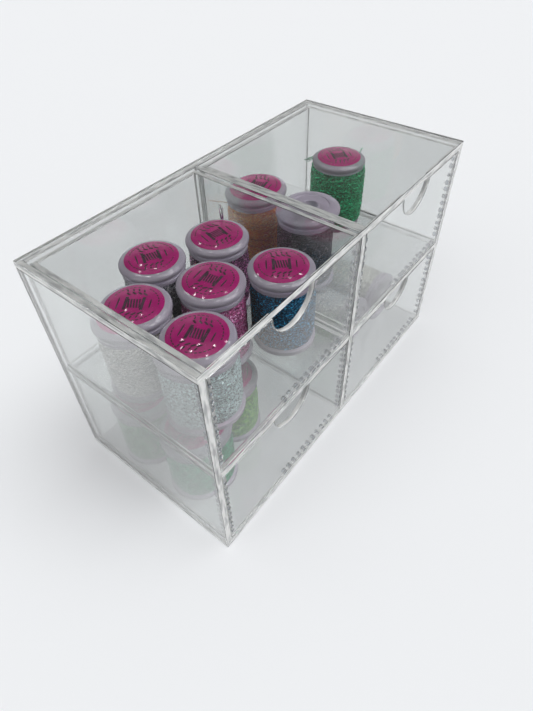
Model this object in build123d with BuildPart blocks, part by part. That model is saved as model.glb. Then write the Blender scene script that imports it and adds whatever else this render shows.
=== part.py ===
from build123d import *
import os

# Clear drawer cabinet for embroidery thread: a glued sheet case with two bays
# side by side and two high, a drawer in each bay, and thread spools in the drawers.
# Millimetres. +X runs to the right along the front, +Y to the back, +Z up.
# The origin is the middle of the case's underside.

# Spools, which the drawers are sized for
spool_diameter = 36.0
spool_height = 48.0
spool_gap = 2.5            # air between neighbours that stand one pitch apart
spool_bore = 9.0
core_diameter = 17.0
foot_thickness = 3.2
cap_thickness = 4.4        # from the underside of the cap to its label seat
cap_slope = 2.0            # the cap's top falls this much from label seat to rim
groove_diameter = 32.6
groove_height = 1.4
collar_diameter = 34.4
collar_height = 2.6
rim_chamfer = 0.7
dish_depth = 0.9           # the cap's middle lies this much under the label
dish_margin = 1.4          # width of the ledge that carries the label's edge
label_diameter = 29.5
label_thickness = 0.25
thread_clearance = 0.05    # between the winding and the bobbin all round
thread_end_inset = 1.7     # how far the winding's ends stay inside the flanges
thread_belly_inset = 0.7   # how far its fullest part stays inside them
full_end_inset = 0.6       # the same two for an overfilled spool, which
full_belly_inset = -1.2    # bulges past its flanges
winding_shoulder = 8.0     # height over which a winding swells from its end to its belly

# Drawers
drawer_wall = 3.0
drawer_headroom = 16.9     # air over the spools, below the drawer's top edge
column_span = 1.80         # pitches between the outermost spool columns
row_span = 1.55            # pitches between the outermost spool rows
side_slack = 0.75          # air between the outer columns and the drawer's sides
front_slack = 10.4         # finger room behind the drawer's front
back_slack = 1.9
notch_radius = 15.5        # half-round finger notch in the front's top edge
drawer_travel = 100.0      # how far a drawer pulls out and still hangs in its bay

# Case
case_wall = 4.0
side_gap = 0.6             # each side of a drawer
floor_gap = 0.3            # under a drawer
top_gap = 0.8              # over a drawer
back_gap = 1.0             # behind a closed drawer

# Spools that lie on their sides
lying_gap = 0.6            # between the two
lying_setback = 21.5       # from the drawer's front to the first one's cap
lying_stagger = 2.0        # the second one lies this much further back

# Worked out from the sizes above
spool_pitch = spool_diameter + spool_gap
spool_radius = spool_diameter / 2
inner_width = column_span * spool_pitch + spool_diameter + 2 * side_slack
inner_depth = front_slack + row_span * spool_pitch + spool_diameter + back_slack
drawer_width = inner_width + 2 * drawer_wall
drawer_depth = inner_depth + 2 * drawer_wall
drawer_height = drawer_wall + spool_height + drawer_headroom
bay_width = drawer_width + 2 * side_gap
bay_height = floor_gap + drawer_height + top_gap
case_width = 2 * bay_width + 3 * case_wall
case_depth = drawer_depth + back_gap + case_wall
case_height = 2 * bay_height + 3 * case_wall
front_y = -case_depth / 2
back_y = case_depth / 2
bay_back_y = back_y - case_wall
left_bay_x = -case_wall / 2 - bay_width
right_bay_x = case_wall / 2
lower_bay_z = case_wall
upper_bay_z = 2 * case_wall + bay_height

# Where the spools stand, in pitches from the drawer's first column and first row
standing = {
    "upper_left": {
        "ice_blue": (0.09, 0.0),
        "pearl": (0.0, 1.0),
        "silver": (0.80, 1.55),
        "magenta": (0.93, 0.56),
        "plum": (1.75, 1.19),
        "peacock": (1.73, 0.0),
    },
    "upper_right": {
        "copper": (0.147, 1.59),
        "charcoal": (0.16, 0.56),
        "emerald": (1.78, 1.06),
    },
    "lower_left": {
        "lime": (0.97, 0.53),
        "teal": (0.03, 0.25),
        "fern": (0.01, 1.30),
    },
}
labelled = {
    "upper_left": ["ice_blue", "pearl", "silver", "magenta", "plum", "peacock"],
    "upper_right": ["copper", "emerald"],
    "lower_left": ["lime", "teal", "fern"],
}
full_spools = ["emerald"]


def save(builder, name):
    """Name a finished piece and write it."""
    builder.part.label = name
    export_step(builder.part, f"parts/{name}.step")


def sheet(name, x, y, z):
    """A flat rectangular piece of sheet between two values on each axis."""
    with BuildPart() as piece:
        with BuildSketch(Plane.XY.offset(z[0])):
            with Locations(((x[0] + x[1]) / 2, (y[0] + y[1]) / 2)):
                Rectangle(x[1] - x[0], y[1] - y[0])
        extrude(amount=z[1] - z[0])
    save(piece, name)


def case():
    """The fixed case: top and bottom over the walls, a divider and two half shelves."""
    x = (-case_width / 2, case_width / 2)
    inside_x = (x[0] + case_wall, x[1] - case_wall)
    y = (front_y, back_y)
    inside_y = (front_y, bay_back_y)
    walls_z = (case_wall, case_height - case_wall)
    shelf_z = (lower_bay_z + bay_height, upper_bay_z)
    divider_x = (-case_wall / 2, case_wall / 2)
    sheet("case_bottom", x, y, (0, case_wall))
    sheet("case_top", x, y, (walls_z[1], case_height))
    sheet("case_left_side", (x[0], inside_x[0]), y, walls_z)
    sheet("case_right_side", (inside_x[1], x[1]), y, walls_z)
    sheet("case_back", inside_x, (bay_back_y, back_y), walls_z)
    sheet("case_divider", divider_x, inside_y, walls_z)
    sheet("case_left_shelf", (inside_x[0], divider_x[0]), inside_y, shelf_z)
    sheet("case_right_shelf", (divider_x[1], inside_x[1]), inside_y, shelf_z)


def drawer_front(name, left_x, base_z):
    """A drawer's front panel, with the finger notch cut from its top edge."""
    middle_x = left_x + drawer_width / 2
    top_z = base_z + drawer_height
    with BuildPart() as front:
        with BuildSketch(Plane.XZ.offset(-front_y)):
            with Locations((middle_x, base_z + drawer_height / 2)):
                Rectangle(drawer_width, drawer_height)
            with Locations((middle_x, top_z)):
                Circle(notch_radius, mode=Mode.SUBTRACT)
        extrude(amount=-drawer_wall)
    save(front, name)


def drawer(place, bay_x, bay_z):
    """One drawer: its front covers the edges of the floor and sides behind it."""
    left_x = bay_x + side_gap
    right_x = left_x + drawer_width
    base_z = bay_z + floor_gap
    top_z = base_z + drawer_height
    y = (front_y + drawer_wall, front_y + drawer_depth)
    walls_z = (base_z + drawer_wall, top_z)
    inside_x = (left_x + drawer_wall, right_x - drawer_wall)
    drawer_front(f"{place}_drawer_front", left_x, base_z)
    sheet(f"{place}_drawer_floor", (left_x, right_x), y, (base_z, walls_z[0]))
    sheet(f"{place}_drawer_left_side", (left_x, inside_x[0]), y, walls_z)
    sheet(f"{place}_drawer_right_side", (inside_x[1], right_x), y, walls_z)
    sheet(f"{place}_drawer_back", inside_x, (y[1] - drawer_wall, y[1]), walls_z)


def half_section(base):
    """The plane of a spool's half section: radius across, height up the spool."""
    return Plane(base.origin, x_dir=base.x_dir, z_dir=-base.y_dir)


def bobbin(name, base):
    """A moulded bobbin: foot flange, core, snap-on collar, and a dished cap."""
    core = core_diameter / 2
    bore = spool_bore / 2
    collar_z = spool_height - cap_thickness - groove_height - collar_height
    groove_z = collar_z + collar_height
    cap_z = groove_z + groove_height
    with BuildPart() as piece:
        with BuildSketch(half_section(base)) as half:
            with BuildLine():
                Polyline(
                    (bore, 0),
                    (spool_radius, 0),
                    (spool_radius, foot_thickness),
                    (core, foot_thickness),
                    (core, collar_z),
                    (collar_diameter / 2, collar_z),
                    (collar_diameter / 2, groove_z),
                    (groove_diameter / 2, groove_z),
                    (groove_diameter / 2, cap_z),
                    (spool_radius, cap_z),
                    (spool_radius, spool_height - cap_slope),
                    (label_diameter / 2, spool_height),
                    (label_diameter / 2 - dish_margin, spool_height),
                    (label_diameter / 2 - dish_margin - dish_depth, spool_height - dish_depth),
                    (bore, spool_height - dish_depth),
                    close=True,
                )
            make_face()
            chamfer(half.vertices().group_by(Axis.X)[-1], length=rim_chamfer)
        revolve(axis=Axis(base.origin, base.z_dir))
    save(piece, name)


def winding(name, base, end_inset, belly_inset):
    """The wound thread: a hollow, slightly swollen sleeve between foot and collar."""
    inner = core_diameter / 2 + thread_clearance
    low = foot_thickness + thread_clearance
    high = spool_height - cap_thickness - groove_height - collar_height - thread_clearance
    end = spool_radius - end_inset
    belly = spool_radius - belly_inset
    with BuildPart() as piece:
        with BuildSketch(half_section(base)):
            with BuildLine():
                Polyline(
                    (inner, low),
                    (end, low),
                    (belly, low + winding_shoulder),
                    (belly, high - winding_shoulder),
                    (end, high),
                    (inner, high),
                    close=True,
                )
            make_face()
        revolve(axis=Axis(base.origin, base.z_dir))
    save(piece, name)


def spool(colour, base):
    """One thread spool on the plane of its foot."""
    end_inset, belly_inset = thread_end_inset, thread_belly_inset
    if colour in full_spools:
        end_inset, belly_inset = full_end_inset, full_belly_inset
    bobbin(f"{colour}_spool_bobbin", base)
    winding(f"{colour}_spool_thread", base, end_inset, belly_inset)


def labels(name, points, z):
    """The round paper labels on one drawer's spools, as a group of discs."""
    with BuildPart() as group:
        with BuildSketch(Plane.XY.offset(z)):
            with Locations(points):
                Circle(label_diameter / 2)
        extrude(amount=label_thickness)
    save(group, name)


def contents(place, bay_x, bay_z):
    """The spools that stand in one drawer, and their labels."""
    first_x = bay_x + side_gap + drawer_wall + side_slack + spool_radius
    first_y = front_y + drawer_wall + front_slack + spool_radius
    floor_z = bay_z + floor_gap + drawer_wall
    centres = {}
    for colour, (column, row) in standing[place].items():
        centre = (first_x + column * spool_pitch, first_y + row * spool_pitch)
        centres[colour] = centre
        spool(colour, Plane((centre[0], centre[1], floor_z)))
    if place in labelled:
        points = [centres[colour] for colour in labelled[place]]
        labels(f"{place}_spool_labels", points, floor_z + spool_height)


def lying_contents(bay_x, bay_z):
    """Two spools that lie side by side by the right wall, caps to the front."""
    right_x = bay_x + side_gap + drawer_wall + inner_width - side_slack - spool_radius
    axis_z = bay_z + floor_gap + drawer_wall + spool_radius
    foot_y = front_y + drawer_wall + lying_setback + spool_height
    for i, colour in enumerate(["frost", "snow"]):
        x = right_x - i * (spool_diameter + lying_gap)
        foot = (x, foot_y + i * lying_stagger, axis_z)
        spool(colour, Plane(foot, x_dir=(1, 0, 0), z_dir=(0, -1, 0)))


os.makedirs("parts", exist_ok=True)
case()
bays = {
    "upper_left": (left_bay_x, upper_bay_z),
    "upper_right": (right_bay_x, upper_bay_z),
    "lower_left": (left_bay_x, lower_bay_z),
    "lower_right": (right_bay_x, lower_bay_z),
}
for place, (bay_x, bay_z) in bays.items():
    drawer(place, bay_x, bay_z)
    if place in standing:
        contents(place, bay_x, bay_z)
    else:
        lying_contents(bay_x, bay_z)
print(f"case {case_width:.2f} x {case_depth:.2f} x {case_height:.2f}")
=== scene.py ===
"""The looks of a clear drawer cabinet with spools of metallic embroidery thread."""
import math
import random

import bmesh
import bpy
from mathutils import Matrix, Vector

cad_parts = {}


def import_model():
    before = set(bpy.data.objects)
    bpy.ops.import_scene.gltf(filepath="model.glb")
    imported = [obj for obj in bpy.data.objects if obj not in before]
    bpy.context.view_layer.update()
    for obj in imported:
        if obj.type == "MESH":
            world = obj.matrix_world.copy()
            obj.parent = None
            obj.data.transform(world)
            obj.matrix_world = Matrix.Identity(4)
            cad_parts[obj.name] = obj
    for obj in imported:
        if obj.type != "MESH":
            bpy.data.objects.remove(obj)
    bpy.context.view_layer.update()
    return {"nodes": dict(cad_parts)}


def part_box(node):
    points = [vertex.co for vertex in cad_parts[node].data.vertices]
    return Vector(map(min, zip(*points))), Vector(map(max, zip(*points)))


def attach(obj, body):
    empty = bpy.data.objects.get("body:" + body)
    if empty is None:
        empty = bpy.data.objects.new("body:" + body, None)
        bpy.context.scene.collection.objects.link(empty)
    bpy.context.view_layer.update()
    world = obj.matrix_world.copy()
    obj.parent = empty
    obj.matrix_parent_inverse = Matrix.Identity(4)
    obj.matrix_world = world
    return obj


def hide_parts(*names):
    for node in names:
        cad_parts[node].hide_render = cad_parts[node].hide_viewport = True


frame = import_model()

MM = 0.001
CASE_SHEETS = ("bottom", "top", "left_side", "right_side", "back", "divider", "left_shelf",
               "right_shelf")
DRAWER_SHEETS = ("front", "floor", "left_side", "right_side", "back")
PLACES = ("upper_left", "upper_right", "lower_left", "lower_right")
SPOOLS = {
    "upper_left": ("ice_blue", "pearl", "silver", "magenta", "plum", "peacock"),
    "upper_right": ("copper", "charcoal", "emerald"),
    "lower_left": ("lime", "teal", "fern"),
    "lower_right": ("frost", "snow"),
}
# Which way up each label's print is, in degrees
LABEL_TURN = {
    "ice_blue": 20, "pearl": 35, "silver": 60, "magenta": 10, "plum": 75, "peacock": 40,
    "copper": 15, "emerald": 50, "lime": 80, "teal": 30, "fern": 120,
}
# Each thread: dark colour of painted shade between strands, body colour, colour of painted glints
# (linear)
THREADS = {
    "ice_blue": ((0.10, 0.11, 0.11), (0.60, 0.74, 0.76), (0.75, 1.00, 1.00)),
    "pearl": ((0.30, 0.29, 0.25), (0.74, 0.72, 0.65), (1.00, 1.00, 0.97)),
    "silver": ((0.08, 0.085, 0.10), (0.32, 0.33, 0.36), (0.90, 0.92, 0.95)),
    "magenta": ((0.16, 0.015, 0.075), (0.56, 0.085, 0.30), (1.00, 0.50, 0.85)),
    "plum": ((0.015, 0.006, 0.015), (0.11, 0.020, 0.085), (0.80, 0.22, 0.62)),
    "peacock": ((0.001, 0.006, 0.014), (0.002, 0.075, 0.16), (0.04, 0.50, 0.92)),
    "copper": ((0.75, 0.14, 0.010), (1.00, 0.34, 0.035), (1.00, 0.66, 0.22)),
    "charcoal": ((0.014, 0.013, 0.015), (0.06, 0.052, 0.060), (0.42, 0.38, 0.43)),
    "emerald": ((0.001, 0.04, 0.014), (0.001, 0.33, 0.11), (0.03, 1.00, 0.42)),
    "lime": ((0.01, 0.10, 0.002), (0.09, 0.52, 0.01), (0.50, 1.00, 0.12)),
    "teal": ((0.001, 0.05, 0.018), (0.002, 0.30, 0.11), (0.05, 0.85, 0.42)),
    "fern": ((0.005, 0.07, 0.01), (0.02, 0.30, 0.06), (0.25, 0.85, 0.25)),
    "frost": ((0.24, 0.24, 0.20), (0.70, 0.69, 0.60), (1.00, 1.00, 0.95)),
    "snow": ((0.24, 0.24, 0.24), (0.72, 0.73, 0.73), (1.00, 1.00, 1.00)),
}
# The spools whose strands lie coarser than the others'
COARSE = ("ice_blue", "magenta", "lime", "plum")
# Loose and frayed ends: name, thread, drawer, root, tip, strands, spread, seed (millimetres)
LOOSE_ENDS = (
    ("copper_loose_end", "copper", "upper_right",
     (19.3, 45.6, 118.6), (6.8, 50.4, 124.4), 1, 0, 1),
    ("emerald_frayed_end", "emerald", "upper_right",
     (92.0, 30.2, 123.2), (83.5, 33.6, 123.0), 6, 1.6, 2),
    ("emerald_stray_strands", "emerald", "upper_right",
     (110.6, 8.0, 119.5), (111.4, 5.5, 128.6), 3, 0.7, 3),
    ("plum_frayed_end", "plum", "upper_left",
     (-12.2, 26.0, 123.6), (-9.0, 31.5, 131.0), 7, 2.0, 4),
    ("charcoal_frayed_end", "charcoal", "upper_right",
     (17.0, -21.5, 81.2), (22.5, -28.0, 82.5), 4, 0.8, 5),
)

# Lengths in metres
SHEET_GAP = 0.00003        # each face of a sheet is drawn this far inside its solid
ARRIS = 0.00022            # width of a sheet's broken edges
FLOOR_Z = -0.0002          # the stage floor lies this much under the case

# Lengths in millimetres, with heights from a spool's foot
DRAWER_WALL = 3            # thickness of a drawer's sheets
THREAD_LOW = 3.25          # where a winding starts, just over the foot
THREAD_HIGH = 39.55        # where it ends, just under the collar
SHOULDER = 8.0             # height over which it swells from its end to its belly
CORE_RADIUS = 8.6          # the inside of a winding
MEAN_RADIUS = 17.0         # the outside of a winding, about
GIRTH = 107.0              # once round a winding, about
LABEL_HEIGHT = 48.22       # the flat middle of a label
LABEL_FLAT = 11.5          # radius of that flat middle
LABEL_ROLL = 0.065         # how fast the label falls outside it, per millimetre squared
PRINT_LIFT = 0.012         # the print stands this much over its label
BUBBLE_DEPTH = 1.42        # from the plane of a glued joint to a bubble's middle

ROUND = 96                 # steps round a full circle
ACRYLIC_IOR = 1.49
GLOSS_DOME = 24.4          # how much the gloss on a label leans outwards, per metre from its middle
FLOOR_LIFT = 0.30          # how much paler the floor shows than it is lit

# ---------------------------------------------------------------- node helpers


def new_material(name):
    """An empty node material with its output, as (material, nodes, links, output)."""
    material = bpy.data.materials.new(name)
    material.use_nodes = True
    tree = material.node_tree
    tree.nodes.clear()
    output = tree.nodes.new("ShaderNodeOutputMaterial")
    return material, tree.nodes, tree.links, output


def ramp(nodes, stops):
    """A colour ramp with the given (position, colour) stops."""
    node = nodes.new("ShaderNodeValToRGB")
    elements = node.color_ramp.elements
    while len(elements) < len(stops):
        elements.new(0.5)
    for element, (position, colour) in zip(elements, stops):
        element.position = position
        element.color = (*colour, 1)
    return node


def grey(value):
    """A grey, as a colour."""
    return (value, value, value)


def stretched(nodes, links, uv_map, scale):
    """Places from a UV map in millimetres, scaled along and across it."""
    uv = nodes.new("ShaderNodeUVMap")
    uv.uv_map = uv_map
    mapping = nodes.new("ShaderNodeMapping")
    mapping.inputs["Scale"].default_value = (*scale, 1)
    links.new(uv.outputs[0], mapping.inputs[0])
    return mapping


def grain(nodes, links, scale):
    """Fine noise that is fixed to its piece."""
    coord = nodes.new("ShaderNodeTexCoord")
    noise = nodes.new("ShaderNodeTexNoise")
    noise.inputs["Scale"].default_value = scale
    noise.inputs["Detail"].default_value = 2
    links.new(coord.outputs["Object"], noise.inputs["Vector"])
    return noise


def mottle(nodes, links, scale, stops):
    """A colour that wanders between the stops with the grain."""
    noise = grain(nodes, links, scale)
    tone = ramp(nodes, stops)
    links.new(noise.outputs["Fac"], tone.inputs[0])
    return tone


def bumped(nodes, links, noise, strength, distance):
    """A bump from the noise, its distance in metres."""
    bump = nodes.new("ShaderNodeBump")
    bump.inputs["Strength"].default_value = strength
    bump.inputs["Distance"].default_value = distance
    links.new(noise.outputs["Fac"], bump.inputs["Height"])
    return bump


# ---------------------------------------------------------------- materials


def shadow_clear(nodes, links, shader, output, tint):
    """Lets lamp light through a clear piece, a little dimmed, in place of a black shadow."""
    path = nodes.new("ShaderNodeLightPath")
    clear = nodes.new("ShaderNodeBsdfTransparent")
    clear.inputs["Color"].default_value = (*tint, 1)
    mix = nodes.new("ShaderNodeMixShader")
    links.new(path.outputs["Is Shadow Ray"], mix.inputs[0])
    links.new(shader.outputs[0], mix.inputs[1])
    links.new(clear.outputs[0], mix.inputs[2])
    links.new(mix.outputs[0], output.inputs["Surface"])


def acrylic():
    """Polished clear sheet, with a hint of grey-green."""
    material, nodes, links, output = new_material("clear_acrylic_polished")
    bsdf = nodes.new("ShaderNodeBsdfPrincipled")
    bsdf.inputs["Base Color"].default_value = (0.925, 0.935, 0.932, 1)
    bsdf.inputs["Roughness"].default_value = 0.015
    bsdf.inputs["IOR"].default_value = ACRYLIC_IOR
    bsdf.inputs["Transmission Weight"].default_value = 1.0
    shadow_clear(nodes, links, bsdf, output, (0.988, 0.990, 0.990))
    return material


def sawn_acrylic():
    """The edge of the sheet: frosted by the saw, with clearer streaks along its length."""
    material, nodes, links, output = new_material("clear_acrylic_sawn_edge")
    place = stretched(nodes, links, "sheet", (0.09, 0.42))
    streaks = nodes.new("ShaderNodeTexNoise")
    streaks.inputs["Scale"].default_value = 1.0
    streaks.inputs["Detail"].default_value = 1.5
    links.new(place.outputs[0], streaks.inputs["Vector"])
    bump = bumped(nodes, links, streaks, 1.0, 0.0006)
    bsdf = nodes.new("ShaderNodeBsdfPrincipled")
    marks = ramp(nodes, [(0.34, (0.84, 0.86, 0.86)), (0.56, (0.98, 0.985, 0.97))])
    links.new(streaks.outputs["Fac"], marks.inputs[0])
    links.new(marks.outputs[0], bsdf.inputs["Base Color"])
    clearer = ramp(nodes, [(0.34, grey(0.62)), (0.56, grey(0.22))])
    links.new(streaks.outputs["Fac"], clearer.inputs[0])
    links.new(clearer.outputs[0], bsdf.inputs["Transmission Weight"])
    bsdf.inputs["Roughness"].default_value = 0.22
    bsdf.inputs["IOR"].default_value = ACRYLIC_IOR
    links.new(bump.outputs[0], bsdf.inputs["Normal"])
    shadow_clear(nodes, links, bsdf, output, (0.93, 0.93, 0.93))
    return material


def bobbin_plastic():
    """Milky translucent moulding, faintly lavender."""
    material, nodes, links, output = new_material("bobbin_plastic_milky")
    bsdf = nodes.new("ShaderNodeBsdfPrincipled")
    bsdf.inputs["Base Color"].default_value = (0.86, 0.78, 0.92, 1)
    bsdf.inputs["Roughness"].default_value = 0.15
    bsdf.inputs["IOR"].default_value = 1.45
    bsdf.inputs["Transmission Weight"].default_value = 0.58
    bump = bumped(nodes, links, grain(nodes, links, 900), 0.12, 0.0002)
    links.new(bump.outputs[0], bsdf.inputs["Normal"])
    shadow_clear(nodes, links, bsdf, output, (0.55, 0.54, 0.58))
    return material


def thread_material(colour):
    """Metallic thread: film flecks that each face their own way, toned strand by strand."""
    dark, body, painted_glint = THREADS[colour]
    material, nodes, links, output = new_material(f"{colour}_metallic_thread")
    fleck_place = stretched(nodes, links, "strand", (1.55, 2.5))
    flecks = nodes.new("ShaderNodeTexVoronoi")
    flecks.voronoi_dimensions = "2D"
    flecks.inputs["Scale"].default_value = 1.0
    links.new(fleck_place.outputs[0], flecks.inputs["Vector"])
    chance = nodes.new("ShaderNodeSeparateColor")
    links.new(flecks.outputs["Color"], chance.inputs[0])
    # Random flecks take the dark colour, which is painted shade between strands, or the glint
    # colour, which is painted glints; the sparkle from their tilted normals is real
    colours = ramp(nodes, [(0.16, dark), (0.40, body), (0.72, body), (0.90, painted_glint)])
    links.new(chance.outputs["Red"], colours.inputs[0])
    strand_place = stretched(nodes, links, "strand", (0.035, 0.31))
    strands = nodes.new("ShaderNodeTexNoise")
    strands.inputs["Scale"].default_value = 1.0
    strands.inputs["Detail"].default_value = 1.0
    links.new(strand_place.outputs[0], strands.inputs["Vector"])
    tone = ramp(nodes, [(0.34, grey(0.48)), (0.50, grey(0.92)), (0.64, grey(1.0))])
    links.new(strands.outputs["Fac"], tone.inputs[0])
    toned = nodes.new("ShaderNodeMix")
    toned.data_type = "RGBA"
    toned.blend_type = "MULTIPLY"
    toned.inputs["Factor"].default_value = 1.0
    links.new(colours.outputs[0], toned.inputs[6])
    links.new(tone.outputs[0], toned.inputs[7])
    lean = nodes.new("ShaderNodeVectorMath")
    lean.operation = "SUBTRACT"
    lean.inputs[1].default_value = (0.5, 0.5, 0.5)
    links.new(flecks.outputs["Color"], lean.inputs[0])
    reach = nodes.new("ShaderNodeVectorMath")
    reach.operation = "SCALE"
    reach.inputs["Scale"].default_value = 1.05
    links.new(lean.outputs[0], reach.inputs[0])
    shape = nodes.new("ShaderNodeNewGeometry")
    tilted = nodes.new("ShaderNodeVectorMath")
    links.new(shape.outputs["Normal"], tilted.inputs[0])
    links.new(reach.outputs[0], tilted.inputs[1])
    facing = nodes.new("ShaderNodeVectorMath")
    facing.operation = "NORMALIZE"
    links.new(tilted.outputs[0], facing.inputs[0])
    shine = ramp(nodes, [(0.2, grey(0.5)), (0.85, grey(0.2))])
    links.new(chance.outputs["Green"], shine.inputs[0])
    bsdf = nodes.new("ShaderNodeBsdfPrincipled")
    bsdf.inputs["Metallic"].default_value = 0.38
    bsdf.inputs["IOR"].default_value = 1.5
    links.new(toned.outputs[2], bsdf.inputs["Base Color"])
    links.new(shine.outputs[0], bsdf.inputs["Roughness"])
    links.new(facing.outputs[0], bsdf.inputs["Normal"])
    links.new(bsdf.outputs[0], output.inputs["Surface"])
    return material


def label_paper():
    """Glossy magenta label stock, with its gloss slightly domed."""
    material, nodes, links, output = new_material("label_magenta_print")
    tone = mottle(nodes, links, 260, [(0.35, (0.50, 0.006, 0.19)), (0.65, (0.60, 0.010, 0.23))])
    coord = nodes.new("ShaderNodeTexCoord")
    across = nodes.new("ShaderNodeVectorMath")
    across.operation = "MULTIPLY"
    across.inputs[1].default_value = (GLOSS_DOME, GLOSS_DOME, 0)
    links.new(coord.outputs["Object"], across.inputs[0])
    dome = nodes.new("ShaderNodeVectorMath")
    dome.inputs[1].default_value = (0, 0, 1)
    links.new(across.outputs[0], dome.inputs[0])
    facing = nodes.new("ShaderNodeVectorTransform")
    facing.vector_type = "NORMAL"
    facing.convert_from = "OBJECT"
    facing.convert_to = "WORLD"
    links.new(dome.outputs[0], facing.inputs[0])
    bsdf = nodes.new("ShaderNodeBsdfPrincipled")
    bsdf.inputs["Roughness"].default_value = 0.6
    bsdf.inputs["Specular IOR Level"].default_value = 0.0
    bsdf.inputs["Coat Weight"].default_value = 0.9
    bsdf.inputs["Coat Roughness"].default_value = 0.05
    links.new(tone.outputs[0], bsdf.inputs["Base Color"])
    links.new(facing.outputs[0], bsdf.inputs["Coat Normal"])
    links.new(bsdf.outputs[0], output.inputs["Surface"])
    return material


def label_ink():
    """Dark print on the labels, a little worn."""
    material, nodes, links, output = new_material("label_dark_ink")
    tone = mottle(nodes, links, 1400, [(0.35, (0.022, 0.005, 0.016)), (0.7, (0.05, 0.008, 0.03))])
    bsdf = nodes.new("ShaderNodeBsdfPrincipled")
    bsdf.inputs["Roughness"].default_value = 0.5
    bsdf.inputs["Specular IOR Level"].default_value = 0.15
    links.new(tone.outputs[0], bsdf.inputs["Base Color"])
    links.new(bsdf.outputs[0], output.inputs["Surface"])
    return material


def glue_bubble():
    """Air in the glue of a joint: the sheet's index turned inside out."""
    material, nodes, links, output = new_material("glue_bubble")
    bump = bumped(nodes, links, grain(nodes, links, 900), 0.25, 0.0003)
    bsdf = nodes.new("ShaderNodeBsdfPrincipled")
    # The slate tint is painted reflection and shade: the air in a bubble is clear
    bsdf.inputs["Base Color"].default_value = (0.26, 0.31, 0.37, 1)
    bsdf.inputs["Roughness"].default_value = 0.05
    bsdf.inputs["IOR"].default_value = 0.67
    bsdf.inputs["Transmission Weight"].default_value = 1.0
    links.new(bump.outputs[0], bsdf.inputs["Normal"])
    shadow_clear(nodes, links, bsdf, output, (0.8, 0.8, 0.8))
    return material


def chipped_acrylic():
    """Small chips along a sawn arris, where the clear sheet turns white."""
    material, nodes, links, output = new_material("clear_acrylic_chips")
    tone = mottle(nodes, links, 1500, [(0.4, grey(0.72)), (0.6, grey(0.96))])
    bsdf = nodes.new("ShaderNodeBsdfPrincipled")
    bsdf.inputs["Roughness"].default_value = 0.15
    bsdf.inputs["Transmission Weight"].default_value = 0.15
    links.new(tone.outputs[0], bsdf.inputs["Base Color"])
    links.new(bsdf.outputs[0], output.inputs["Surface"])
    return material


POLISHED = acrylic()
SAWN = sawn_acrylic()
BOBBIN = bobbin_plastic()
LABEL = label_paper()
INK = label_ink()
BUBBLE = glue_bubble()
CHIP = chipped_acrylic()

# ---------------------------------------------------------------- mesh helpers


def mesh_object(name, mesh):
    """A new object in the scene that shows this mesh."""
    obj = bpy.data.objects.new(name, mesh)
    bpy.context.scene.collection.objects.link(obj)
    return obj


def shade_smooth(mesh, angle):
    """Smooth shading with edges over this angle kept sharp."""
    for polygon in mesh.polygons:
        polygon.use_smooth = True
    mesh.set_sharp_from_angle(angle=math.radians(angle))


# ---------------------------------------------------------------- clear sheet


def sheet_piece(node, body):
    """A sheet of acrylic over its solid: a hair smaller, with broken edges and sawn sides."""
    low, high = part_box(node)
    size = high - low
    thin = min(range(3), key=lambda i: size[i])
    centre = (low + high) / 2
    work = bmesh.new()
    work.from_mesh(frame["nodes"][node].data)
    bmesh.ops.remove_doubles(work, verts=work.verts, dist=1e-6)
    bmesh.ops.dissolve_limit(
        work, angle_limit=math.radians(1), verts=work.verts, edges=work.edges
    )
    for vert in work.verts:
        for i in range(3):
            vert.co[i] = centre[i] + (vert.co[i] - centre[i]) * (1 - 2 * SHEET_GAP / size[i])
    square = 0.6               # radians; only the corners of a sheet turn by more
    sharp = [e for e in work.edges if len(e.link_faces) == 2 and e.calc_face_angle() > square]
    bmesh.ops.bevel(
        work, geom=sharp, offset=ARRIS, segments=1, affect="EDGES", profile=0.5
    )
    work.normal_update()
    layer = work.loops.layers.uv.new("sheet")
    others = [i for i in range(3) if i != thin]
    # The broad faces and the bevels round them are polished, and the sides are sawn
    for face in work.faces:
        normal = face.normal
        if abs(normal[thin]) > 0.9:
            face.material_index = 0
            for loop in face.loops:
                co = loop.vert.co
                loop[layer].uv = (co[others[0]] / MM, co[others[1]] / MM)
            continue
        face.material_index = 1 if abs(normal[thin]) < 0.3 else 0
        along = min(others, key=lambda i: abs(normal[i]))
        for loop in face.loops:
            co = loop.vert.co
            loop[layer].uv = (co[along] / MM, co[thin] / MM)
    mesh = bpy.data.meshes.new(f"{node}_sheet")
    work.to_mesh(mesh)
    work.free()
    mesh.materials.append(POLISHED)
    mesh.materials.append(SAWN)
    obj = mesh_object(f"{node}_clear_sheet", mesh)
    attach(obj, body)
    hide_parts(node)


# ---------------------------------------------------------------- spools


def on_circle(radius, turn, height):
    """A point from its radius, turn and height, from millimetres to metres."""
    return (radius * math.cos(turn) * MM, radius * math.sin(turn) * MM, height * MM)


def revolve(name, profile, segments=ROUND):
    """A closed ring mesh from a closed (radius, height) profile in millimetres."""
    verts = []
    for k in range(segments):
        turn = 2 * math.pi * k / segments
        for radius, height in profile:
            verts.append(on_circle(radius, turn, height))
    count = len(profile)
    faces = []
    for k in range(segments):
        a = k * count
        b = ((k + 1) % segments) * count
        for i in range(count):
            j = (i + 1) % count
            faces.append((a + i, b + i, b + j, a + j))
    mesh = bpy.data.meshes.new(name)
    mesh.from_pydata(verts, [], faces)
    mesh.update()
    return mesh


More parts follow.
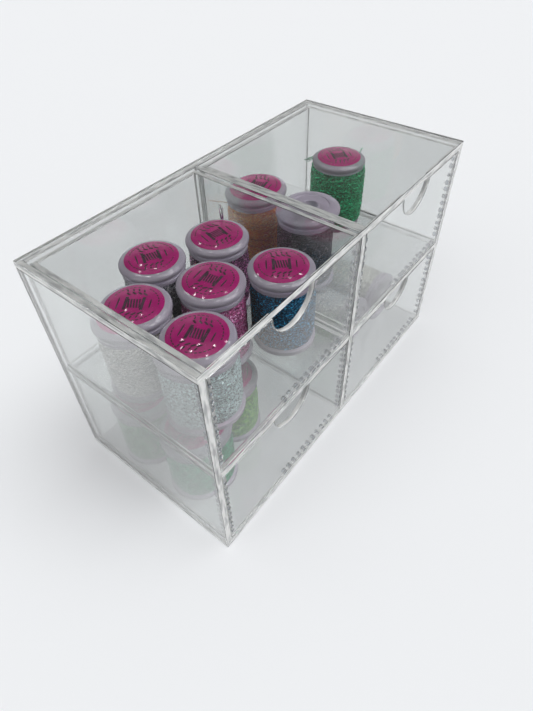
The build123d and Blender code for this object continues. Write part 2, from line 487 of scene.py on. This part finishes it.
def bobbin_mesh():
    """The moulded bobbin, from its foot up over the cap, with its corners rounded."""
    profile = [
        (4.5, 0.3), (4.8, 0), (17.2, 0), (17.75, 0.2), (18.0, 0.75), (18.0, 2.5),
        (17.8, 3.0), (17.2, 3.2), (9.0, 3.2), (8.5, 3.7), (8.5, 39.2), (8.9, 39.6),
        (16.8, 39.6), (17.2, 40.0), (17.2, 41.9), (16.9, 42.2), (16.3, 42.4),
        (16.3, 43.4), (16.6, 43.6), (17.4, 43.6), (17.85, 43.85), (18.0, 44.4),
        (18.0, 45.3), (17.8, 45.9), (17.2, 46.45), (16.2, 46.95), (15.2, 47.3),
        (14.7, 47.42), (13.6, 47.6), (12.6, 47.72), (11.6, 47.6), (11.2, 47.15),
        (5.8, 47.1), (5.5, 47.5), (4.9, 47.55), (4.5, 47.2),
    ]
    mesh = revolve("bobbin", profile)
    mesh.materials.append(BOBBIN)
    shade_smooth(mesh, 32)
    return mesh


def winding_mesh(name, end, belly, lump, slant, high_end, seed):
    """Crossing layers of strands over a barrel, between the flanges.

    The barrel's radius is end at its ends and belly between its shoulders, and lump is how
    uneven it is. The strands climb at about slant degrees, up to high_end.
    """
    rng = random.Random(seed)
    verts, faces, uvs = [], [], []

    def surface(turn, height):
        """Radius at a place on the winding, uneven where the thread has piled up."""
        piled = math.sin(height * 1.65 + 1.3 * math.sin(2 * turn) + seed)
        rise = min(1, min(height - THREAD_LOW, high_end - height) / SHOULDER)
        return end + (belly - end) * math.sin(max(rise, 0) * math.pi / 2) + lump * piled

    def point(turn, radius, height):
        verts.append(on_circle(radius, turn, height))

    def quad(a, b, c, d, coordinates):
        """A face, with a place along and across the thread for each corner."""
        faces.append((a, b, c, d))
        uvs.extend(coordinates)

    rows, columns = 28, 72
    under = 0.5                # the barrel lies this much inside the winding's surface
    row_height = 1.3           # of the barrel's faces, about
    for i in range(rows + 1):
        height = THREAD_LOW + (high_end - THREAD_LOW) * i / rows
        for k in range(columns):
            turn = 2 * math.pi * k / columns
            point(turn, surface(turn, height) - under, height)
    for i in range(rows):
        for k in range(columns):
            n = (k + 1) % columns
            a, b = i * columns + k, i * columns + n
            c, d = (i + 1) * columns + n, (i + 1) * columns + k
            u, v = k * GIRTH / columns, i * row_height
            quad(a, b, c, d,
                 [(u, v), (u + 1.5, v), (u + 1.5, v + row_height), (u, v + row_height)])
    for i, height in ((0, THREAD_LOW), (rows, high_end)):
        ring = [i * columns + k for k in range(columns)]
        first = len(verts)
        for k in range(columns):
            point(2 * math.pi * k / columns, CORE_RADIUS, min(height, THREAD_HIGH))
        for k in range(columns):
            n = (k + 1) % columns
            a, b, c, d = ring[k], ring[n], first + n, first + k
            if i == 0:
                a, b, c, d = b, a, d, c
            quad(a, b, c, d, [(0, 0), (1.5, 0), (1.5, 8), (0, 8)])

    def strand(start, slope, lift, width, steps, sway, tag):
        """One strand from the foot up to the collar, as a low ridge."""
        first = len(verts)
        margin, sink = 0.3, 0.17
        wander, heave = 0.35, 0.13     # how far it strays up and down, and in and out
        facet = 0.27                   # width of each of the strand's three faces, about
        low, high = THREAD_LOW + margin, high_end - margin
        turns = (high - low) / (math.tan(slope) * MEAN_RADIUS)
        tilt = (-math.sin(slope), math.cos(slope))
        length = 0.0
        for s in range(steps + 1):
            t = s / steps
            turn = start + turns * t + sway * math.sin(5.0 * t + start * 3)
            height = low + (high - low) * t
            height += wander * math.sin(9.0 * t + start * 7)
            height = min(max(height, low), high)
            ripple = heave * math.sin(turn * 2.0 + height * 0.31 + tag) * lift
            for offset, drop in ((-0.5, 0.3), (-0.2, 0.0), (0.2, 0.0), (0.5, 0.3)):
                across = offset * width
                z = min(max(height + tilt[1] * across, THREAD_LOW), high_end)
                radius = surface(turn, z) - sink - drop + ripple
                point(turn + tilt[0] * across / radius, radius, z)
            back, length = length, t * (high - low) / abs(math.sin(slope))
            if s == 0:
                continue
            for i in range(3):
                a = first + (s - 1) * 4 + i
                v = tag + i * facet
                corners = [(back, v), (back, v + facet), (length, v + facet), (length, v)]
                if slope > 0:
                    quad(a, a + 1, a + 5, a + 4, corners)
                else:
                    quad(a + 4, a + 5, a + 1, a, corners[::-1])

    missing = 0.1              # share of the strands left out, where the layer below shows
    tag = 0
    for direction, count in ((1, 36), (-1, 34)):
        for k in range(count):
            start = 2 * math.pi * (k + rng.uniform(-0.30, 0.30)) / count
            slope = direction * math.radians(rng.gauss(slant, 0.7))
            width = rng.uniform(0.66, 0.92)
            tag += 7
            if rng.random() < missing:
                continue
            strand(start, slope, direction, width, 48, rng.uniform(-0.03, 0.03), tag)
    mesh = bpy.data.meshes.new(name)
    mesh.from_pydata(verts, [], faces)
    layer = mesh.uv_layers.new(name="strand")
    for i, pair in enumerate(uvs):
        layer.data[i].uv = pair
    mesh.update()
    shade_smooth(mesh, 60)
    return mesh


def label_top(radius):
    """Height of a label's face: flat, then rolled down over the cap's rounded seat."""
    return LABEL_HEIGHT - LABEL_ROLL * max(0, radius - LABEL_FLAT) ** 2


def label_mesh():
    """A round paper label, rolled down at its edge."""
    radii = (0.0, 6.0, 11.0, 11.5, 12.0, 12.4, 12.8, 13.2, 13.6, 14.0, 14.35, 14.6)
    rings = [(radius, label_top(radius)) for radius in radii]
    rings += [(14.65, label_top(14.65) - 0.03), (14.6, label_top(14.6) - 0.1)]
    rings += [(radius, label_top(radius) - 0.2) for radius in (13.4, 12.4, 11.4)]
    verts = [(0, 0, rings[0][1] * MM)]
    for radius, height in rings[1:]:
        for k in range(ROUND):
            verts.append(on_circle(radius, 2 * math.pi * k / ROUND, height))
    faces = [(0, 1 + k, 1 + (k + 1) % ROUND) for k in range(ROUND)]
    for i in range(len(rings) - 2):
        for k in range(ROUND):
            n = (k + 1) % ROUND
            a, b = 1 + i * ROUND + k, 1 + i * ROUND + n
            faces.append((a, a + ROUND, b + ROUND, b))
    last = 1 + (len(rings) - 2) * ROUND
    faces.append(tuple(last + k for k in reversed(range(ROUND))))
    mesh = bpy.data.meshes.new("label")
    mesh.from_pydata(verts, [], faces)
    mesh.materials.append(LABEL)
    shade_smooth(mesh, 50)
    return mesh


def ink_mesh():
    """The print: a ring of stitches round a reel of thread with a sprig each side."""
    work = bmesh.new()

    def height_at(x, y):
        """Height of the print over a place on the label."""
        return label_top(math.hypot(x, y)) + PRINT_LIFT

    def patch(points):
        """One printed face, from its outline in millimetres from the label's middle."""
        corners = [(x * MM, y * MM, height_at(x, y) * MM) for x, y in points]
        work.faces.new([work.verts.new(corner) for corner in corners])

    def stroke(x, y, length, width, turn):
        """A stitch or leaf: a bar with narrowed ends."""
        c, s = math.cos(turn), math.sin(turn)
        half, end = width / 2, length / 2
        outline = [(-end, -half * 0.4), (-end * 0.6, -half), (end * 0.6, -half), (end, -half * 0.4),
                   (end, half * 0.4), (end * 0.6, half), (-end * 0.6, half), (-end, half * 0.4)]
        patch([(x + c * px - s * py, y + s * px + c * py) for px, py in outline])

    for k in range(36):
        if k % 9 < 7:
            turn = 2 * math.pi * k / 36
            stroke(11.9 * math.cos(turn), 11.9 * math.sin(turn), 1.5, 0.62, turn + math.pi / 2)
    for y in (4.2, -4.2):
        patch([(-4.6, y - 0.8), (4.6, y - 0.8), (4.6, y + 0.8), (-4.6, y + 0.8)])
    for k in range(5):
        y = -2.9 + k * 1.38
        patch([(-3.2, y - 0.75), (3.2, y + 0.15), (3.2, y + 1.05), (-3.2, y + 0.15)])
    for side in (-1, 1):
        for k in range(4):
            y = -4.2 + 2.8 * k
            stroke(side * (6.6 + 0.8 * math.cos(k - 1.5)), y, 2.8, 1.05, side * 0.9)
            stroke(side * (9.0 + 0.8 * math.cos(k - 1.5)), y + 0.9, 2.0, 0.85, side * 0.3)
    stroke(0, 7.9, 8.4, 0.8, 0)
    stroke(0, -7.9, 6.4, 0.8, 0)
    mesh = bpy.data.meshes.new("label_print")
    work.to_mesh(mesh)
    work.free()
    mesh.materials.append(INK)
    return mesh


BOBBIN_MESH = bobbin_mesh()
LABEL_MESH = label_mesh()
INK_MESH = ink_mesh()
WINDINGS = {
    "even": winding_mesh("winding_even", 16.35, 17.3, 0.05, 14.0, THREAD_HIGH, 3),
    "coarse": winding_mesh("winding_coarse", 16.3, 17.25, 0.12, 17.0, THREAD_HIGH, 5),
    "full": winding_mesh("winding_full", 18.15, 18.85, 0.42, 9.0, 42.0, 8),
}


def spool_matrix(colour):
    """Where the spool's foot is and which way it stands, from its bobbin's solid."""
    low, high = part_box(f"{colour}_spool_bobbin")
    size = high - low
    middle = (low + high) / 2
    if size.z > size.y:
        return Matrix.Translation((middle.x, middle.y, low.z))
    return Matrix.Translation((middle.x, high.y, middle.z)) @ Matrix.Rotation(math.pi / 2, 4, "X")


def spool(colour, place, turn):
    """One spool: its bobbin and its winding, and its label where it has one."""
    body = f"{place}_drawer"
    matrix = spool_matrix(colour)
    bobbin = mesh_object(f"{colour}_bobbin_moulding", BOBBIN_MESH)
    bobbin.matrix_world = matrix
    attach(bobbin, body)
    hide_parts(f"{colour}_spool_bobbin")
    kind = "full" if colour == "emerald" else "coarse" if colour in COARSE else "even"
    mesh = WINDINGS[kind].copy()
    mesh.name = f"{colour}_winding"
    mesh.materials.append(thread_material(colour))
    winding = mesh_object(f"{colour}_wound_thread", mesh)
    winding.matrix_world = matrix @ Matrix.Rotation(turn, 4, "Z")
    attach(winding, body)
    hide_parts(f"{colour}_spool_thread")
    if colour not in LABEL_TURN:
        return
    spun = matrix @ Matrix.Rotation(math.radians(LABEL_TURN[colour]), 4, "Z")
    label = mesh_object(f"{colour}_label_disc", LABEL_MESH)
    label.matrix_world = spun
    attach(label, body)
    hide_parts(f"{place}_spool_labels")
    ink = mesh_object(f"{colour}_label_print", INK_MESH)
    ink.matrix_world = spun
    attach(ink, body)


# ---------------------------------------------------------------- loose ends, bubbles, chips


def fibres(name, colour, place, root, tip, count, spread, seed):
    """Frayed or loose thread from a root to about a tip, as thin curved tubes."""
    rng = random.Random(seed)
    root, tip = Vector(root), Vector(tip)
    verts, faces, uvs = [], [], []
    steps, sides, radius = 8, 5, 0.26
    for k in range(count):
        end = tip + Vector([rng.uniform(-spread, spread) for axis in range(3)])
        bend = Vector([rng.uniform(-spread, spread) * 0.5 for axis in range(3)])
        first = len(verts)
        for s in range(steps + 1):
            t = s / steps
            middle = root.lerp(end, t) + bend * math.sin(math.pi * t)
            across = (end - root).cross(Vector((0.3, 0.2, 1))).normalized()
            up = across.cross((end - root).normalized())
            for i in range(sides):
                turn = 2 * math.pi * i / sides
                offset = across * math.cos(turn) + up * math.sin(turn)
                verts.append((middle + offset * radius * (1 - 0.5 * t)) * MM)
        for s in range(steps):
            for i in range(sides):
                n = (i + 1) % sides
                a = first + s * sides
                faces.append((a + i, a + n, a + n + sides, a + i + sides))
                u, v = s * 0.9 + k * 5, i * 0.3 + k * 7
                uvs.extend([(u, v), (u, v + 0.3), (u + 0.9, v + 0.3), (u + 0.9, v)])
        faces.append(tuple(first + i for i in reversed(range(sides))))
        uvs.extend([(0, 0)] * sides)
        last = first + steps * sides
        faces.append(tuple(last + i for i in range(sides)))
        uvs.extend([(0, 0)] * sides)
    mesh = bpy.data.meshes.new(name)
    mesh.from_pydata(verts, [], faces)
    layer = mesh.uv_layers.new(name="strand")
    for i, pair in enumerate(uvs):
        layer.data[i].uv = pair
    mesh.materials.append(bpy.data.materials[f"{colour}_metallic_thread"])
    shade_smooth(mesh, 60)
    obj = mesh_object(name, mesh)
    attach(obj, f"{place}_drawer")


def pebbles(name, body, material, spots):
    """Small faceted ellipsoids, each from a middle, three half sizes and a turn about Y."""
    work = bmesh.new()
    for middle, half, turn in spots:
        place = Matrix.Translation(Vector(middle) * MM) @ Matrix.Rotation(turn, 4, "Y")
        place = place @ Matrix.Diagonal((*[h * MM for h in half], 1))
        bmesh.ops.create_icosphere(work, subdivisions=1, radius=1, matrix=place)
    mesh = bpy.data.meshes.new(name)
    work.to_mesh(mesh)
    work.free()
    mesh.materials.append(material)
    obj = mesh_object(name, mesh)
    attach(obj, body)


def row_of_bubbles(rng, start, end):
    """Bubbles on both sides of a joint behind a drawer's front, in millimetres."""
    start, end = Vector(start), Vector(end)
    length = (end - start).length
    along = (end - start).normalized()
    upright = abs(along.z) > 0.5
    spots = []
    travel = 2.5
    while travel < length - 2:
        middle = start + along * (travel + rng.uniform(-0.5, 0.5))
        half = (rng.uniform(1.1, 1.4), rng.uniform(1.05, 1.35), rng.uniform(1.7, 2.3))
        if not upright:
            half = (rng.uniform(1.7, 2.3), rng.uniform(1.05, 1.35), rng.uniform(1.1, 1.4))
        lean = rng.uniform(-0.3, 0.3)
        for depth in (-BUBBLE_DEPTH, BUBBLE_DEPTH):
            spots.append((middle + Vector((0, depth, 0)), half, lean))
        travel += rng.uniform(4.7, 5.7)
    return spots


def drawer_bubbles(place, seed):
    """Bubbles in the joints that the drawer's front makes with its floor and sides."""
    rng = random.Random(seed)
    front_low, front_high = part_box(f"{place}_drawer_front")
    floor_low, floor_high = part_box(f"{place}_drawer_floor")
    y = front_high.y / MM
    low, high = front_low / MM, front_high / MM
    z = (floor_low.z + floor_high.z) / 2 / MM
    sound = 48                 # the floor's joint has no bubbles this far from the left
    middle = DRAWER_WALL / 2
    joints = {
        "floor": ((low.x + sound, y, z), (high.x - DRAWER_WALL, y, z)),
        "left": ((low.x + middle, y, low.z + 4), (low.x + middle, y, high.z - 2)),
        "right": ((high.x - middle, y, low.z + 4), (high.x - middle, y, high.z - 2)),
    }
    for joint, (start, end) in joints.items():
        spots = row_of_bubbles(rng, start, end)
        pebbles(f"{place}_{joint}_joint_bubbles", f"{place}_drawer", BUBBLE, spots)


def arris_chips(node, seed):
    """White saw chips along both arrises of an upright front edge of the case."""
    rng = random.Random(seed)
    low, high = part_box(node)
    spots = []
    for x in (low.x / MM + 0.5, high.x / MM - 0.5):
        z = low.z / MM + 2
        while z < high.z / MM - 2:
            half = (rng.uniform(0.16, 0.3), 0.1, rng.uniform(0.4, 0.8))
            spots.append(((x, low.y / MM + 0.2, z), half, rng.uniform(-0.3, 0.3)))
            z += rng.uniform(2.2, 5.0)
    pebbles(f"{node}_edge_chips", "case", CHIP, spots)


# ---------------------------------------------------------------- the object

for sheet in CASE_SHEETS:
    sheet_piece(f"case_{sheet}", "case")
for place in PLACES:
    for sheet in DRAWER_SHEETS:
        sheet_piece(f"{place}_drawer_{sheet}", f"{place}_drawer")
    for count, colour in enumerate(SPOOLS[place]):
        spool(colour, place, 0.7 * count + len(colour))
for seed, place in enumerate(PLACES):
    drawer_bubbles(place, seed)
for seed, node in enumerate(("case_left_side", "case_right_side")):
    arris_chips(node, seed)
for loose_end in LOOSE_ENDS:
    fibres(*loose_end)

# ---------------------------------------------------------------- stage


def floor():
    """A pale matt floor that shows a little paler than its own lit colour."""
    mesh = bpy.data.meshes.new("floor")
    half = 6.0
    corners = ((-half, -half), (half, -half), (half, half), (-half, half))
    mesh.from_pydata([(x, y, FLOOR_Z) for x, y in corners], [], [(0, 1, 2, 3)])
    material, nodes, links, output = new_material("floor_pale")
    bsdf = nodes.new("ShaderNodeBsdfPrincipled")
    bsdf.inputs["Base Color"].default_value = (0.55, 0.56, 0.573, 1)
    bsdf.inputs["Roughness"].default_value = 0.8
    bsdf.inputs["Specular IOR Level"].default_value = 0.0
    path = nodes.new("ShaderNodeLightPath")
    seen = nodes.new("ShaderNodeMath")
    seen.operation = "MAXIMUM"
    links.new(path.outputs["Is Camera Ray"], seen.inputs[0])
    links.new(path.outputs["Is Glossy Ray"], seen.inputs[1])
    seen_through = nodes.new("ShaderNodeMath")
    seen_through.operation = "MAXIMUM"
    links.new(seen.outputs[0], seen_through.inputs[0])
    links.new(path.outputs["Is Transmission Ray"], seen_through.inputs[1])
    lift = nodes.new("ShaderNodeMath")
    lift.operation = "MULTIPLY"
    lift.inputs[1].default_value = FLOOR_LIFT
    links.new(seen_through.outputs[0], lift.inputs[0])
    bsdf.inputs["Emission Color"].default_value = (0.97, 0.98, 1.0, 1)
    links.new(lift.outputs[0], bsdf.inputs["Emission Strength"])
    links.new(bsdf.outputs[0], output.inputs["Surface"])
    mesh.materials.append(material)
    obj = mesh_object("floor", mesh)


def world():
    """A soft surround: pale at the horizon, dim half way up and pale again overhead."""
    surround = bpy.data.worlds.new("surround")
    bpy.context.scene.world = surround
    surround.use_nodes = True
    nodes = surround.node_tree.nodes
    links = surround.node_tree.links
    nodes.clear()
    output = nodes.new("ShaderNodeOutputWorld")
    background = nodes.new("ShaderNodeBackground")
    coord = nodes.new("ShaderNodeTexCoord")
    split = nodes.new("ShaderNodeSeparateXYZ")
    links.new(coord.outputs["Generated"], split.inputs[0])
    heights = ((0.0, 0.87), (0.12, 0.80), (0.28, 0.50), (0.40, 0.32), (0.50, 0.13), (0.70, 0.09),
               (0.80, 0.26), (0.92, 0.80), (1.0, 0.90))
    tone = ramp(nodes, [(height, grey(value)) for height, value in heights])
    links.new(split.outputs["Z"], tone.inputs[0])
    links.new(tone.outputs[0], background.inputs["Color"])
    background.inputs["Strength"].default_value = 1.0
    links.new(background.outputs[0], output.inputs["Surface"])


def broad_light(name, energy, angle, direction):
    """A broad soft light of the room, from the way it shines."""
    light = bpy.data.lights.new(name, "SUN")
    light.energy = energy
    light.angle = math.radians(angle)
    obj = bpy.data.objects.new(name, light)
    bpy.context.scene.collection.objects.link(obj)
    obj.rotation_euler = Vector(direction).to_track_quat("-Z", "Y").to_euler()


def downlights():
    """Seven small ceiling lamps, which only show as glints on what is glossy.

    Each stands where gloss that leans out by lean, towards bearing, mirrors it to the viewer.
    """
    middle = Vector((-0.05, 0.0, 0.13))
    view = Vector((-0.548, -0.450, 0.705))
    toward = Vector((-0.773, -0.635, 0))
    side = Vector((0.635, -0.773, 0))
    distance, size, energy = 1.2, 0.06, 0.65
    # The bearing and lean of each, in degrees
    leans = ((-66, 17), (-46, 20), (-24, 19), (-14, 12), (9, 21), (32, 15), (60, 18))
    for count, (bearing, lean) in enumerate(leans):
        bearing, lean = math.radians(bearing), math.radians(lean)
        outward = toward * math.cos(bearing) + side * math.sin(bearing)
        facing = outward * math.sin(lean) + Vector((0, 0, 1)) * math.cos(lean)
        ray = 2 * facing.dot(view) * facing - view
        light = bpy.data.lights.new(f"downlight_{count}", "AREA")
        light.shape = "DISK"
        light.size = size
        light.energy = energy
        obj = bpy.data.objects.new(f"downlight_{count}", light)
        bpy.context.scene.collection.objects.link(obj)
        obj.location = middle + ray * distance
        obj.rotation_euler = (-ray).to_track_quat("-Z", "Y").to_euler()
        obj.visible_camera = False
        obj.visible_diffuse = False


def camera():
    """The photograph's viewpoint."""
    azimuth, elevation, roll = 0.882865, 0.782760, -0.0322562
    place = (-0.1956338, -0.1550407, 0.2914936)
    width, height = 533, 711               # of the picture, in pixels, like the next two
    focal = 508.1596
    centre_x, centre_y = 266.293, 331.351
    look = Vector((math.cos(elevation) * math.sin(azimuth),
                   math.cos(elevation) * math.cos(azimuth), -math.sin(elevation)))
    right = look.cross(Vector((0, 0, 1))).normalized()
    up = right.cross(look)
    right_rolled = math.cos(roll) * right + math.sin(roll) * up
    up_rolled = math.cos(roll) * up - math.sin(roll) * right
    turn = Matrix((right_rolled, up_rolled, -look)).transposed().to_4x4()
    data = bpy.data.cameras.new("camera")
    data.sensor_width = 36
    data.lens = data.sensor_width * focal / height
    data.shift_x = (width / 2 - centre_x) / height
    data.shift_y = (centre_y - height / 2) / height
    data.clip_start = 0.01
    obj = bpy.data.objects.new("camera", data)
    bpy.context.scene.collection.objects.link(obj)
    obj.matrix_world = Matrix.Translation(place) @ turn
    bpy.context.scene.camera = obj


floor()
world()
camera()
broad_light("window", 1.90, 36, (-0.355, 0.432, -0.829))
broad_light("second_window", 0.75, 45, (0.74, -0.16, -0.65))
downlights()

scene = bpy.context.scene
scene.view_settings.view_transform = "Standard"
scene.cycles.max_bounces = 40
scene.cycles.transmission_bounces = 36
scene.cycles.glossy_bounces = 24
scene.cycles.diffuse_bounces = 4
scene.cycles.transparent_max_bounces = 40
scene.cycles.caustics_reflective = False
scene.cycles.caustics_refractive = False
